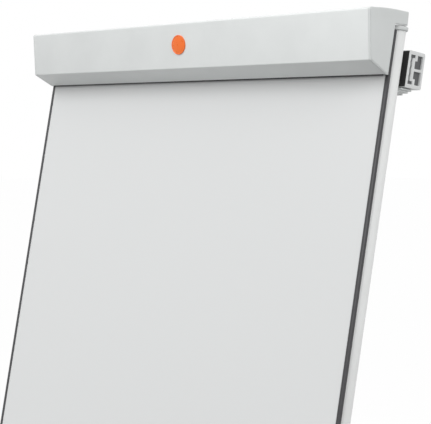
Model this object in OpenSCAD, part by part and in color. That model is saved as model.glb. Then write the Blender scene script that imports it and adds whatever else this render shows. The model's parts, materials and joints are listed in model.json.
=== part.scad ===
// Tripod flipchart easel: a magnetic board on two telescopic front legs and one folding
// rear leg, with a hinged pad clamp across the top and two sliding display arms behind it.
// Millimetres, +Z up, front towards -Y. The origin is on the floor under the middle.

/* [Stance] */
// Lean of the board back from vertical, in degrees
lean = 12; // [8:1:16]
// Slope of the rear leg from vertical, in degrees
rear_splay = 16; // [12:1:20]
// Distance up the slope from the floor to the pad clamp's lower edge
clamp_s = 1850; // [1600:10:2000]

/* [Board] */
// Width over the edge trims
board_w = 700; // [560:10:900]
// Height over the edge trims
board_h = 1000; // [800:10:1150]
// Thickness of the sandwich behind the writing face
board_t = 3; // [3:0.5:8]
// Thickness of the steel sheet on each side
sheet_t = 0.6; // [0.4:0.1:1]
// Height of the board's top edge above the clamp's lower edge
board_over = 60; // [56:1:64]
// Width of the trim's lips on the face
trim_lip = 5; // [4:0.5:10]
// Wall of the trim
trim_wall = 0.8; // [0.6:0.1:1.2]

/* [Legs] */
// Outside diameter of the upper tubes
tube_d = 28; // [24:1:32]
// Wall of every tube
tube_wall = 1.2; // [1:0.1:2]
// Gap between telescoping tubes, on the radius
tube_fit = 0.3; // [0.2:0.05:0.5]
// Length of the front upper tubes
outer_len = 1210; // [1100:10:1300]
// Length of the rear upper tube
rear_outer_len = 1150; // [1000:10:1250]
// Length of lower leg left inside the upper tube
leg_overlap = 400; // [250:10:500]
// Height of the upper tubes' ends above the clamp's lower edge, on the tubes' axes
tube_top = 63; // [62:0.5:64]
// Slope of the tubes' ends and their plugs, falling towards the board, in degrees
plug_slope = 7; // [0:1:8]
// Rim of the plugs outside the tubes
plug_rim = 2.2; // [0.5:0.1:3]
// Thickness of the plugs' heads
plug_t = 5; // [3:0.5:5]
// Largest diameter of the rubber feet
foot_d = 32; // [30:0.5:44]
// Height of the rubber feet
foot_h = 45; // [30:1:60]

/* [Pad clamp cover] */
// Wall of the cover
cover_wall = 2.5; // [2:0.1:3.5]
// Thickness of the end caps
cap_t = 3; // [2:0.5:5]
// Furthest reach of the cover in front of the board
cover_reach = 57.2; // [50:0.2:65]
// Height of the cover's front edge above its lower rear edge
cover_front_z = 73.4; // [68:0.2:80]
// Radius of the front top edge
nose_r = 3; // [2:0.5:8]
// Diameter of the pins that the cover turns on
hinge_pin_d = 5; // [4:0.5:6]
// Diameter of the plain disc badge
badge_d = 28; // [20:1:34]
// Height of the badge's middle up the front face
badge_up = 34; // [20:1:45]

/* [Display arms] */
// Depth of the arm section
arm_d = 36; // [30:1:40]
// Height of the arm section
arm_h = 49; // [40:1:52]
// Slope of the section's top and bottom, rising towards the back, in degrees
arm_slope = 5.5; // [0:0.5:8]
// Length of each arm
arm_len = 650; // [550:10:680]
// Gap between the upper and the lower arm
arm_pitch_gap = 12; // [12:1:20]
// Depth of the recess for the black strip
strip_t = 1.5; // [1:0.1:2.5]

/* [Pen tray] */
// Reach of the tray in front of the board
tray_reach = 60; // [45:1:80]
// Height of the tray's front lip
tray_lip = 15; // [10:1:20]
// Wall of the tray
tray_wall = 2.5; // [2:0.1:3]

/* [Hidden] */
$fn = 48;
slack = 0.05;        // on the radius of a pin or plug that is pressed or seated
running = 0.1;       // on the radius of a bore that turns on its pin
tube_gap = 0.3;      // between the board's trim and the tubes

// Tubes
tube_r = tube_d/2;
bore_r = tube_r - tube_wall;
inner_r = bore_r - tube_fit;
tube_x = board_w/2 - tube_r;
tube_y = board_t + trim_wall + tube_gap + tube_r;
tube_bot = clamp_s + tube_top - outer_len;
inner_top = tube_bot + leg_overlap;
foot_r = foot_d/2;
sole = 8;            // rubber under the end of each lower leg
foot_wall = 1.6;

// Rails behind the board
rail_h = 34;
rail_d = 20;
rail_wall = 1.5;
rail_z = 18;         // underside of the head rail above the clamp's lower edge
rail_back = board_t + rail_d;
bar_z = 26;          // underside of the cross bar above the board's lower edge
bolt_x = board_w/2 - 100;
bolt_r = 2.5;
bolt_head_r = 4.6;
bolt_head_h = 3;

// Board
board_top = clamp_s + board_over;
board_bot = board_top - board_h;
web_t = 1;           // trim across the board's edge

// Carriers, guides and arms
carrier_t = 2;
carrier_y = tube_y + tube_r + 0.2;
carrier_x = [board_w/2 - 150, tube_x - 1];
arm_gap = 0.5;
arm_rise = arm_d*tan(arm_slope);
arm_low = -7;        // underside of the upper arm above the clamp's lower edge
arm_y = carrier_y + carrier_t + arm_gap;
arm_z = [arm_low - arm_h - arm_pitch_gap, arm_low];    // undersides of the lower and upper arms
guide_gap = 0.4;
guide_wall = 2;
guide_foot = 5.5;
guide_w = 30;
shoe_reach = 26;     // of the outer guide's foot past the guide
shoe_depth = 27;
shoe_r = 7;
guide_x = [carrier_x[0] + 5, board_w/2 - 60];
screw_r = 2;
strip_edge = 1;
stop_t = 3;

// Rear leg pivot, in the board's plane
bracket_z = arm_z[1] + arm_h + arm_rise + 4;
bracket_t = 4;
knuckle_r = tube_r - 1;
pivot_y = arm_y + arm_d + guide_gap + guide_wall + 4 + tube_r;
pivot_z = bracket_z + bracket_t + knuckle_r + 0.5;
pivot_pin_r = 4;
bracket_w = 60;
cheek_t = 3;
cheek_r = 12;        // round the pivot
cheek_h = 8;         // of the low part that carries the stop lip
cheek_front = 34;    // from the pivot to the front of the cheeks
cheek_x = tube_r + 1.5;
neck = tube_r + 3.5;  // from the pivot to the end of the rear tube
fold = lean + rear_splay;

// Stance on the floor, before the whole easel is centred
function up_slope(y, s) = [y*cos(lean) + s*sin(lean), s*cos(lean) - y*sin(lean)];
pivot = up_slope(pivot_y, clamp_s + pivot_z);
rear_len = pivot[1]/cos(rear_splay);
front_edge = tube_y/cos(lean) - foot_r/cos(lean);
rear_edge = pivot[0] + pivot[1]*tan(rear_splay) + foot_r/cos(rear_splay);
y_shift = -(front_edge + rear_edge)/2;
foot_s = tube_y*tan(lean);
rear_inner_top = -(neck + rear_outer_len) + leg_overlap;

// Leg clamps
clamp_r = tube_r + 5;
clamp_low = 20;
clamp_up = 28;
lever_gap = 1.7;
lever_t = 3;
lever_z = [-1, 15];
lever_pin_r = 2.5;
lever_pin_y = clamp_r + 7;
lever_wrap = 105;

// Pad clamp cover
cover_x = board_w/2 - cap_t;
rear_low = [-5, 0];
front_low = [-40.8, 9.8];
front_top = [-cover_reach, cover_front_z];
crown = [-19.8, 82.6];
rear_top = [22.8, 88.6];
cover_pts = [rear_low, front_low, front_top, crown, rear_top, [rear_top[0], 76], [rear_low[0], 62]];
cover_radii = [0.5, 2, nose_r, 500, 1, 0, 0];
cap_notch = [[24, 70.6], [-1.6, 66.2], [-1.6, 0]];    // clears the tube and its plug
grip_t = 3.2;
grip_h = 7;
hinge_y = 18;
hinge_z = 79.3;
pin_r = hinge_pin_d/2;
boss_r = pin_r + 3;
ear_t = 4;
ear_r = 5.5;
ear_front = 8;       // front of the ears' stem
ear_x = tube_x - tube_r - plug_rim - 0.5;    // outer face of the ears
badge_t = 1.2;
face_len = norm(front_top - front_low);
face_tilt = acos((front_top[1] - front_low[1])/face_len);

// Hook rail and hooks
hook_rail_z = 30;
hook_rail_h = 20;
hook_rail_d = 8;
hook_rail_l = board_w - 100;
hook_x = 235;
hook_slot = 9;
peg_r = 4;
peg_reach = 34;
knob_r = 9;
knob_t = 7;

// Tray
tray_drop = 27;
tray_gap = 1.5;

// Placing
module sloped() { translate([0, y_shift, 0]) rotate([-lean, 0, 0]) children(); }
module at_clamp() { sloped() translate([0, 0, clamp_s]) children(); }
module at_rear_leg() { translate([0, y_shift + pivot[0], pivot[1]]) rotate([rear_splay, 0, 0]) children(); }
module at_leg(side, s) { sloped() translate([side*tube_x, tube_y, s]) children(); }
module other_side(side) { mirror([side < 0 ? 1 : 0, 0, 0]) children(); }
module bar_yz(length) { rotate([90, 0, 90]) linear_extrude(length, center = true) children(); }
module rod_x(r, length) { rotate([0, 90, 0]) cylinder(h = length, r = r, center = true); }
module rod_y(r, y0, y1) { translate([0, y1, 0]) rotate([90, 0, 0]) cylinder(h = y1 - y0, r = r); }
module ring(r_out, r_in, h) {
    difference() {
        cylinder(h = h, r = r_out);
        translate([0, 0, -1]) cylinder(h = h + 2, r = r_in);
    }
}
module box(x, y, z) { translate([x[0], y[0], z[0]]) cube([x[1] - x[0], y[1] - y[0], z[1] - z[0]]); }

// Outlines with round corners, and the same outlines moved inwards by a wall
function unit(v) = v/norm(v);
function corner(a, b, c, r, n) = let(
        u = unit(a - b), v = unit(c - b),
        half = acos(u*v)/2,
        centre = b + unit(u + v)*r/sin(half),
        start = b + u*r/tan(half),
        end = b + v*r/tan(half),
        a0 = atan2(start[1] - centre[1], start[0] - centre[0]),
        a1 = atan2(end[1] - centre[1], end[0] - centre[0]),
        turn = a1 - a0 > 180 ? a1 - a0 - 360 : a1 - a0 < -180 ? a1 - a0 + 360 : a1 - a0)
    [for (i = [0:n]) centre + r*[cos(a0 + turn*i/n), sin(a0 + turn*i/n)]];
function rounded(pts, radii, n = 8) = [for (i = [0:len(pts) - 1])
    let(k = len(pts), a = pts[(i + k - 1) % k], b = pts[i], c = pts[(i + 1) % k])
    each (radii[i] > 0 ? corner(a, b, c, radii[i], n) : [b])];
function inward(a, b, t) = let(d = unit(b - a)) [d[1], -d[0]]*t;
function crossing(p, d, q, e) = p + d*((q - p)[0]*e[1] - (q - p)[1]*e[0])/(d[0]*e[1] - d[1]*e[0]);
function inset(pts, t) = [for (i = [0:len(pts) - 1])
    let(k = len(pts), a = pts[(i + k - 1) % k], b = pts[i], c = pts[(i + 1) % k])
    crossing(b + inward(a, b, t), b - a, b + inward(b, c, t), c - b)];

// Frame
module leg_tube(side) {
    color("gainsboro") difference() {
        at_leg(side, tube_bot) ring(tube_r, bore_r, outer_len + 4);
        at_leg(side, clamp_s + tube_top) above_slope(20);
        carrier_holes(side);
        tray_holes(side);
    }
}
module carrier_holes(side) {
    at_clamp() for (z = carrier_screw_z)
        translate([side*tube_x, 0, z]) rod_y(screw_r + running, tube_y, carrier_y);
}
module tray_holes(side) {
    sloped() translate([side*tube_x, 0, board_bot - tray_drop/2])
        rod_y(screw_r + running, board_t - tray_gap - tray_wall - 1, tube_y);
}
module above_slope(h) { rotate([plug_slope, 0, 0]) translate([-40, -40, 0]) cube([80, 80, h]); }
module tube_plugs() {
    color("lightgray") for (side = [-1, 1]) at_leg(side, clamp_s + tube_top) {
        intersection() {
            translate([0, 0, -5]) cylinder(h = 20, r = tube_r + plug_rim);
            above_slope(plug_t);
        }
        difference() {
            translate([0, 0, -14]) cylinder(h = 18, r = bore_r - slack);
            translate([0, 0, 1]) above_slope(20);
        }
    }
}
module rail(z) {
    color("silver") difference() {
        sloped() difference() {
            box([-tube_x, tube_x], [board_t, rail_back], [z, z + rail_h]);
            box([-tube_x - 1, tube_x + 1], [board_t + rail_wall, rail_back - rail_wall],
                [z + rail_wall, z + rail_h - rail_wall]);
            for (side = [-1, 1]) translate([side*tube_x, tube_y, z - 1])
                cylinder(h = rail_h + 2, r = tube_r + slack);
        }
        board_bolt_shanks(bolt_r + running);
        if (z > clamp_s) rail_screw_holes();
    }
}
module rail_screw_holes() {
    at_clamp() {
        for (side = [-1, 1], z = spacer_z) translate([side*spacer_x, 0, z])
            rod_y(screw_r + running, board_t + rail_wall + 1, rail_back + 1);
        for (x = bracket_bolt_x) translate([x, 0, bracket_bolt_z])
            rod_y(bolt_r + running, board_t + rail_wall + 1, rail_back + 1);
    }
}
module head_rail() { rail(clamp_s + rail_z); }
module cross_bar() { rail(board_bot + bar_z); }

// Board
module board_layer(y0, y1) {
    sloped() box([-board_w/2 + web_t, board_w/2 - web_t], [y0, y1], [board_bot + web_t, board_top - web_t]);
}
module board_face() { color("whitesmoke") board_layer(0, sheet_t); }
module board_core() {
    color("tan") difference() {
        board_layer(sheet_t, board_t - sheet_t);
        board_bolt_shanks(bolt_r + slack);
    }
}
module board_back() {
    color("darkgray") difference() {
        board_layer(board_t - sheet_t, board_t);
        board_bolt_shanks(bolt_r + running);
    }
}
module trim_section(width) {
    // Lips of the channel on the face and on the back, joined across the edge
    square([trim_lip, trim_wall]);
    translate([0, trim_wall + board_t]) square([trim_lip, trim_wall]);
    square([web_t, width]);
}
module trim_bar(length) {
    linear_extrude(length) translate([0, -trim_wall]) trim_section(board_t + 2*trim_wall);
}
module board_trim_side(side) {
    color("dimgray") sloped() other_side(side) translate([board_w/2, 0, board_bot])
        mirror([1, 0, 0]) trim_bar(board_h);
}
module board_trim_ends() {
    len = board_w - 2*trim_lip;
    color("dimgray") sloped() for (up = [0, 1]) translate([-len/2, 0, up > 0 ? board_top : board_bot])
        mirror([0, 0, 1 - up]) rotate([0, 90, 0]) trim_bar(len);
}
module board_bolt_places() {
    sloped() for (x = [-bolt_x, bolt_x], z = [clamp_s + rail_z, board_bot + bar_z] + [1, 1]*rail_h/2)
        translate([x, 0, z]) children();
}
module board_bolt_shanks(r) { board_bolt_places() rod_y(r, 1.5, rail_back); }
module board_bolts() {
    color("slategray") {
        board_bolt_shanks(bolt_r);
        board_bolt_places() rod_y(bolt_head_r, rail_back, rail_back + bolt_head_h);
    }
}

// Cover hinge
module hinge_ears() {
    color("silver") at_clamp() for (side = [-1, 1]) other_side(side) difference() {
        translate([ear_x - ear_t, 0, 0]) {
            box([0, ear_t], [ear_front, rail_back], [rail_z + rail_h, hinge_z - ear_r - 2.5]);
            box([0, ear_t], [hinge_y - ear_r, hinge_y + ear_r], [hinge_z - ear_r - 3.5, hinge_z]);
            translate([ear_t/2, hinge_y, hinge_z]) rod_x(ear_r, ear_t);
        }
        translate([ear_x, hinge_y, hinge_z]) rod_x(pin_r + slack, 4*ear_t);
    }
}
module cover_hinge_pins() {
    from = ear_x - ear_t - 1;
    to = cover_x - 1;
    color("slategray") at_clamp() for (side = [-1, 1])
        translate([side*(from + to)/2, hinge_y, hinge_z]) rod_x(pin_r, to - from);
}

// Pad clamp cover
module pad_clamp_cover() {
    inner = inset(cover_pts, cover_wall);
    inner_radii = [0, 0.5, nose_r - cover_wall, 500, 0, 0, 0];
    color("gainsboro") at_clamp() bar_yz(2*cover_x) difference() {
        polygon(rounded(cover_pts, cover_radii));
        polygon(rounded(inner, inner_radii));
        translate([rear_low[0] - cover_wall - 1, grip_h + 3]) square([50, 74.5 - grip_h - 3]);
        translate([6, 40]) square([17.5, hinge_z + boss_r + 0.4 - 40]);
    }
}
module cover_end(side) {
    outline = concat([rear_low, front_low, front_top, crown, rear_top], cap_notch);
    radii = [0.5, 2, nose_r, 500, 1, 0, 2, 0];
    color("lightgray") at_clamp() other_side(side) {
        translate([board_w/2 - cap_t/2, 0, 0]) bar_yz(cap_t) polygon(rounded(outline, radii));
        difference() {
            translate([(ear_x + cover_x)/2 + 1, hinge_y, hinge_z]) rod_x(boss_r, cover_x - ear_x);
            translate([ear_x, hinge_y, hinge_z]) rod_x(pin_r + running, 2*(cover_x - 0.5 - ear_x));
        }
    }
}
module cover_badge() {
    along = front_low + (front_top - front_low)*badge_up/face_len;
    color("darkorange") at_clamp() translate([0, along[0], along[1]])
        rotate([90 + face_tilt, 0, 0]) {
            cylinder(h = badge_t - 0.3, r = badge_d/2);
            cylinder(h = badge_t, r = badge_d/2 - 0.4);
        }
}
module pad_grip_strip() {
    color("dimgray") at_clamp()
        box([-cover_x + 4, cover_x - 4], [rear_low[0], rear_low[0] + grip_t], [1, 1 + grip_h]);
}

// Pad hooks
module hook_rail() {
    z0 = hook_rail_z;
    z1 = hook_rail_z + hook_rail_h;
    mid = (z0 + z1)/2;
    color("silver") at_clamp() difference() {
        box([-hook_rail_l/2, hook_rail_l/2], [-hook_rail_d, 0], [z0, z1]);
        box([-board_w, board_w], [-hook_rail_d + 1.6, -2], [z0 + 2, z1 - 2]);
        box([-board_w, board_w], [-hook_rail_d - 1, -2], [mid - hook_slot/2, mid + hook_slot/2]);
    }
}
module at_hook(side) {
    at_clamp() translate([side*hook_x, 0, hook_rail_z + hook_rail_h/2]) children();
}
module pad_hook(side) {
    color("dimgray") at_hook(side) {
        box([-12, 12], [-hook_rail_d + 1.9, -2.3], [-hook_rail_h/2 + 2.4, hook_rail_h/2 - 2.4]);
        box([-12, 12], [-hook_rail_d - 0.2, -hook_rail_d + 2], [-hook_slot/2 + 0.4, hook_slot/2 - 0.4]);
        rod_y(peg_r, -peg_reach + 2, -hook_rail_d);
        translate([0, -peg_reach + 2, 0]) rotate([90, 0, 0]) cylinder(h = 2, r1 = peg_r, r2 = peg_r - 2);
    }
}
module hook_knob(side) {
    y1 = -hook_rail_d - 0.5;
    color("black") at_hook(side) difference() {
        rod_y(knob_r, y1 - knob_t, y1);
        rod_y(peg_r + running, y1 - knob_t - 1, y1 + 1);
        for (a = [0:45:315]) rotate([0, a, 0]) translate([knob_r + 1, 0, 0])
            rod_y(2, y1 - knob_t - 1, y1 - 2);
    }
}

// Rear bracket and leg
bracket_bolt_x = [-20, 20];
bracket_bolt_z = rail_z + 12;
stop_y = pivot_y + tube_r + (pivot_z - bracket_z)*tan(fold) + 4;
module rear_bracket() {
    color("silver") at_clamp() difference() {
        union() {
            half = [-bracket_w/2, bracket_w/2];
            box(half, [rail_back, rail_back + cheek_t], [rail_z + 4, bracket_z + bracket_t]);
            box(half, [rail_back, pivot_y - tube_r - 2], [bracket_z, bracket_z + bracket_t]);
            for (side = [-1, 1]) other_side(side) translate([cheek_x, 0, 0]) {
                box([0, cheek_t], [pivot_y - cheek_front, stop_y + cheek_t],
                    [bracket_z, bracket_z + cheek_h]);
                box([0, cheek_t], [pivot_y - cheek_r, pivot_y + cheek_r], [bracket_z, pivot_z]);
                translate([cheek_t/2, pivot_y, pivot_z]) rod_x(cheek_r, cheek_t);
            }
            box([-cheek_x - cheek_t, cheek_x + cheek_t], [stop_y, stop_y + cheek_t],
                [bracket_z, bracket_z + cheek_h]);
        }
        translate([0, pivot_y, pivot_z]) rod_x(pivot_pin_r + slack, 100);
        for (x = bracket_bolt_x) translate([x, 0, bracket_bolt_z])
            rod_y(bolt_r + running, rail_back - 1, rail_back + cheek_t + 1);
    }
}
module bracket_bolts() {
    color("slategray") at_clamp() for (x = bracket_bolt_x) translate([x, 0, bracket_bolt_z]) {
        rod_y(bolt_r, rail_back - 8, rail_back + cheek_t);
        rod_y(bolt_head_r, rail_back + cheek_t, rail_back + cheek_t + bolt_head_h);
    }
}
module rear_hinge_pin() {
    color("slategray") at_clamp() translate([0, pivot_y, pivot_z]) {
        rod_x(pivot_pin_r, 2*(cheek_x + cheek_t));
        for (side = [-1, 1]) translate([side*(cheek_x + cheek_t + 1), 0, 0]) rod_x(pivot_pin_r + 2.5, 2);
    }
}
module rear_knuckle() {
    color("dimgray") at_rear_leg() difference() {
        union() {
            rod_x(knuckle_r, 2*cheek_x - 1);
            translate([0, 0, -neck]) cylinder(h = neck, r = knuckle_r);
            translate([0, 0, -neck - 30]) cylinder(h = 31, r = bore_r - slack);
        }
        rod_x(pivot_pin_r + running, 100);
    }
}
module rear_leg_tube() {
    color("gainsboro") at_rear_leg() translate([0, 0, -neck - rear_outer_len])
        ring(tube_r, bore_r, rear_outer_len);
}

// Lower legs and feet
module lower_leg(side) {
    from = foot_s + sole;
    color("silver") at_leg(side, from) ring(inner_r, inner_r - tube_wall, inner_top - from);
}
module lower_leg_rear() {
    from = -rear_len + sole;
    color("silver") at_rear_leg() translate([0, 0, from])
        ring(inner_r, inner_r - tube_wall, rear_inner_top - from);
}
module foot_body() {
    grip_r = inner_r + foot_wall;
    difference() {
        rotate_extrude() polygon([
            [0, -8], [foot_r, -8], [foot_r, 10], [grip_r, 16], [grip_r, foot_h - 2], [grip_r - 1, foot_h],
            [0, foot_h]]);
        translate([0, 0, sole]) cylinder(h = foot_h, r = inner_r + slack);
    }
}
module above_floor() {
    difference() {
        children();
        translate([-board_w, -2*clamp_s, -100]) cube([2*board_w, 4*clamp_s, 100]);
    }
}
module foot(side) { color("dimgray") above_floor() at_leg(side, foot_s) foot_body(); }
module foot_rear() {
    color("dimgray") above_floor() at_rear_leg() translate([0, 0, -rear_len]) foot_body();
}

// Leg clamps, each in its own leg's frame with the lug towards the rear
module clamp_body() {
    difference() {
        union() {
            translate([0, 0, -clamp_low]) cylinder(h = clamp_low + clamp_up, r = clamp_r);
            for (z = [[lever_z[0] - 11, lever_z[0] - 0.4], [lever_z[1] + 0.4, lever_z[1] + 10]]) {
                box([-5.5, 5.5], [clamp_r - 3, lever_pin_y], z);
                translate([0, lever_pin_y, z[0]]) cylinder(h = z[1] - z[0], r = 5.5);
            }
        }
        translate([0, 0, -clamp_low - 1]) cylinder(h = clamp_low + 2, r = inner_r + 0.25);
        cylinder(h = clamp_up + 1, r = tube_r + slack);
        rotate([0, 0, -50]) box([-1, 1], [0, clamp_r + 2], [-clamp_low - 1, clamp_up + 1]);
        translate([0, lever_pin_y, -clamp_low]) cylinder(h = 60, r = lever_pin_r + slack);
    }
}
module lever_body() {
    in_r = clamp_r + lever_gap;
    out_r = in_r + lever_t;
    height = lever_z[1] - lever_z[0];
    translate([0, 0, lever_z[0]]) difference() {
        union() {
            translate([0, lever_pin_y, 0]) cylinder(h = height, r = 5);
            intersection() {
                ring(out_r, in_r, height);
                linear_extrude(height) polygon(concat([[0, 0]],
                    [for (i = [0:4]) 60*[cos(90 + lever_wrap*i/4), sin(90 + lever_wrap*i/4)]]));
            }
            // Finger tip that stands off the clamp
            rotate([0, 0, lever_wrap]) translate([-1, in_r + 0.5, 0]) cube([10, lever_t, height]);
        }
        translate([0, lever_pin_y, -1]) cylinder(h = height + 2, r = lever_pin_r + running);
    }
}
module clamp_pin() {
    translate([0, lever_pin_y, lever_z[0] - 12]) cylinder(h = lever_z[1] - lever_z[0] + 23, r = lever_pin_r);
}
module at_rear_clamp() { at_rear_leg() translate([0, 0, -neck - rear_outer_len]) children(); }
module leg_clamp(side) { color("dimgray") at_leg(side, tube_bot) other_side(side) clamp_body(); }
module leg_clamp_rear() { color("dimgray") at_rear_clamp() clamp_body(); }
module clamp_lever(side) { color("black") at_leg(side, tube_bot) other_side(side) lever_body(); }
module clamp_lever_rear() { color("black") at_rear_clamp() lever_body(); }
module clamp_pins_front() { color("slategray") for (side = [-1, 1]) at_leg(side, tube_bot) clamp_pin(); }
module clamp_pin_rear() { color("slategray") at_rear_clamp() clamp_pin(); }

// Display arms: the right one slides above the left one
carrier_z = [arm_z[0] - 6, bracket_z + bracket_t];
carrier_screw_z = [arm_z[0] + arm_h/2, arm_z[1] + arm_h/2];
spacer_x = carrier_x[0] + 15;
spacer_z = [rail_z + 8, rail_z + rail_h - 8];
module countersunk(y0, y1) {
    rod_y(screw_r, y0, y1);
    translate([0, y1, 0]) rotate([90, 0, 0]) cylinder(h = carrier_t, r1 = screw_r + carrier_t, r2 = screw_r);
}
module arm_carrier(side) {
    color("silver") at_clamp() difference() {
        other_side(side) box(carrier_x + [0, 6], [carrier_y, carrier_y + carrier_t], carrier_z);
        for (z = carrier_screw_z) translate([side*tube_x, 0, z]) screw_sink();
        for (z = spacer_z) translate([side*spacer_x, 0, z]) screw_sink();
    }
}
module screw_sink() {
    translate([0, carrier_y + carrier_t, 0]) rotate([90, 0, 0])
        cylinder(h = carrier_t, r1 = screw_r + carrier_t + running, r2 = screw_r + running);
}
module carrier_screws() {
    color("slategray") at_clamp() for (side = [-1, 1]) {
        for (z = carrier_screw_z) translate([side*tube_x, 0, z])
            countersunk(carrier_y - tube_wall - 5, carrier_y + carrier_t);
        for (z = spacer_z) translate([side*spacer_x, 0, z])
            countersunk(rail_back - 6, carrier_y + carrier_t);
    }
}
module carrier_spacers() {
    color("slategray") at_clamp() for (side = [-1, 1], z = spacer_z)
        translate([side*spacer_x, 0, z]) difference() {
            rod_y(5, rail_back, carrier_y);
            rod_y(screw_r + running, rail_back - 1, carrier_y + 1);
        }
}
function skewed(pts) = [for (p = pts) [p[0], p[1] + p[0]*tan(arm_slope)]];
function frame_pts(y0, y1, z0, z1) = skewed([[y0, z0], [y1, z0], [y1, z1], [y0, z1]]);
module arm_guide(x0, z0, foot) {
    // Outlines from the arm's front, with the slope of its top and bottom
    front = carrier_y + carrier_t - arm_y;
    back = arm_d + guide_gap;
    low = -guide_gap;
    high = arm_h + guide_gap;
    translate([x0 + guide_w/2, arm_y, z0]) {
        bar_yz(guide_w) difference() {
            polygon(frame_pts(front, back + guide_wall, low - foot, high + guide_wall));
            polygon(frame_pts(front - 1, back, low, high));
        }
        // Shoe that reaches out under the arm, in two layers with round corners
        if (foot > guide_wall) for (layer = [0, 1]) {
            reach = shoe_reach - 2*layer;
            depth = shoe_depth - 4*layer;
            z = [low - foot + (1 - layer)*foot/2, low - layer*foot/2 - (1 - layer)*0.8];
            intersection() {
                translate([guide_w/2 - 1, front, low - foot - 1]) union() {
                    cube([reach + 1 - shoe_r, depth, foot + 8]);
                    cube([reach + 1, depth - shoe_r, foot + 8]);
                    translate([reach + 1 - shoe_r, depth - shoe_r, 0]) cylinder(h = foot + 8, r = shoe_r);
                }
                bar_yz(guide_w + 2*shoe_reach) polygon(frame_pts(front - 1, back, z[0], z[1]));
            }
        }
    }
}
module arm_guides(side) {
    z0 = side > 0 ? arm_z[1] : arm_z[0];
    color("gainsboro") at_clamp() other_side(side) {
        arm_guide(guide_x[0], z0, guide_wall);
        arm_guide(guide_x[1], z0, guide_foot);
    }
}
module arm_section() {
    corner_r = 3;
    front = 6;
    slot_w = 4.2;
    foot_reach = 10;
    wall = 4;
    rib = 3.4;
    low = 5;
    teeth = 8;
    pitch = (arm_h - 2*low)/teeth;
    cavity = front + slot_w + 6;
    difference() {
        polygon(rounded(frame_pts(0, arm_d, 0, arm_h), [corner_r, corner_r, corner_r, corner_r]));
        translate([-1, strip_edge]) square([strip_t + 1, arm_h - 2*strip_edge]);
        // Bracket-shaped slot with serrated sides
        polygon(skewed(concat(
            [for (i = [0:teeth]) [front + (i % 2 == 0 ? 0 : 0.9), low + i*pitch]],
            [for (i = [teeth:-1:0]) [front + slot_w + (i % 2 == 0 ? 0 : 0.9), low + i*pitch]])));
        for (z = [low, arm_h - low - slot_w])
            polygon(frame_pts(front, front + foot_reach, z, z + slot_w));
        // Two cavities that step round the slot's feet
        for (up = [0, 1], deep = [0, 1]) {
            y = [cavity + (1 - deep)*4.5, arm_d - wall];
            z = [low + deep*(slot_w + rib), (arm_h - rib)/2];
            polygon(up > 0 ? frame_pts(y[0], y[1], arm_h - z[1], arm_h - z[0])
                : frame_pts(y[0], y[1], z[0], z[1]));
        }
    }
}
module at_arm(side) {
    z0 = side > 0 ? arm_z[1] : arm_z[0];
    at_clamp() other_side(side) translate([board_w/2 - arm_len/2, arm_y, z0]) children();
}
module display_arm(side) { color("lightgray") at_arm(side) bar_yz(arm_len) arm_section(); }
module arm_strip(side) {
    color("black") at_arm(side) translate([0, slack, strip_edge + slack])
        box([-arm_len/2, arm_len/2], [0, strip_t - slack], [0, arm_h - 2*strip_edge - 2*slack]);
}
module arm_stop(side) {
    lip = 1;
    color("black") at_arm(side) translate([-arm_len/2 - stop_t/2, 0, 0])
        bar_yz(stop_t) polygon(rounded(frame_pts(0.2, arm_d + lip, -lip, arm_h + lip), [3, 3, 3, 3]));
}

// Pen tray
module tray_section() {
    floor_y = board_t - tray_gap;
    difference() {
        polygon(rounded([[-tray_reach, -tray_drop], [floor_y, -tray_drop], [floor_y, -tray_gap],
            [-tray_reach, -tray_gap]], [5, 3, 0, 0]));
        polygon(rounded([[-tray_reach + tray_wall, -tray_drop + tray_wall],
            [floor_y - tray_wall, -tray_drop + tray_wall], [floor_y - tray_wall, 1],
            [-tray_reach + tray_wall, 1]], [5 - tray_wall, 0.5, 0, 0]));
        translate([-tray_reach - 1, -tray_drop + tray_lip]) square([tray_reach - 8, tray_drop]);
    }
    translate([-tray_reach + tray_wall/2, -tray_drop + tray_lip]) circle(r = tray_wall*0.8, $fn = 24);
}
module pen_tray() {
    color("lightgray") difference() {
        sloped() translate([0, 0, board_bot]) bar_yz(board_w - 2*cap_t) tray_section();
        tray_holes(1);
        tray_holes(-1);
    }
}
module tray_end(side) {
    pts = [[-tray_reach - 1, -tray_drop - 1], [board_t - tray_gap, -tray_drop - 1],
        [board_t - tray_gap, -tray_gap], [-8, -tray_gap], [-tray_reach - 1, -tray_drop + tray_lip + 3]];
    color("dimgray") sloped() other_side(side) translate([board_w/2 - cap_t/2, 0, board_bot])
        bar_yz(cap_t) polygon(rounded(pts, [6, 3, 1, 8, 2]));
}
module tray_brackets() {
    color("silver") sloped() for (side = [-1, 1]) translate([side*tube_x, 0, board_bot]) difference() {
        box([-9, 9], [board_t - tray_gap, tube_y - tube_r + 5], [-tray_drop + 3, -4]);
        translate([0, tube_y, -50]) cylinder(h = 100, r = tube_r + slack);
        translate([0, 0, -tray_drop/2]) rod_y(screw_r + running, -10, tube_y);
    }
}
module tray_screws() {
    head_y = board_t - tray_gap - tray_wall;
    color("slategray") sloped() for (side = [-1, 1])
        translate([side*tube_x, 0, board_bot - tray_drop/2]) {
            rod_y(screw_r, head_y, tube_y - bore_r - slack);
            rod_y(screw_r*2, head_y - 2, head_y);
        }
}

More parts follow.
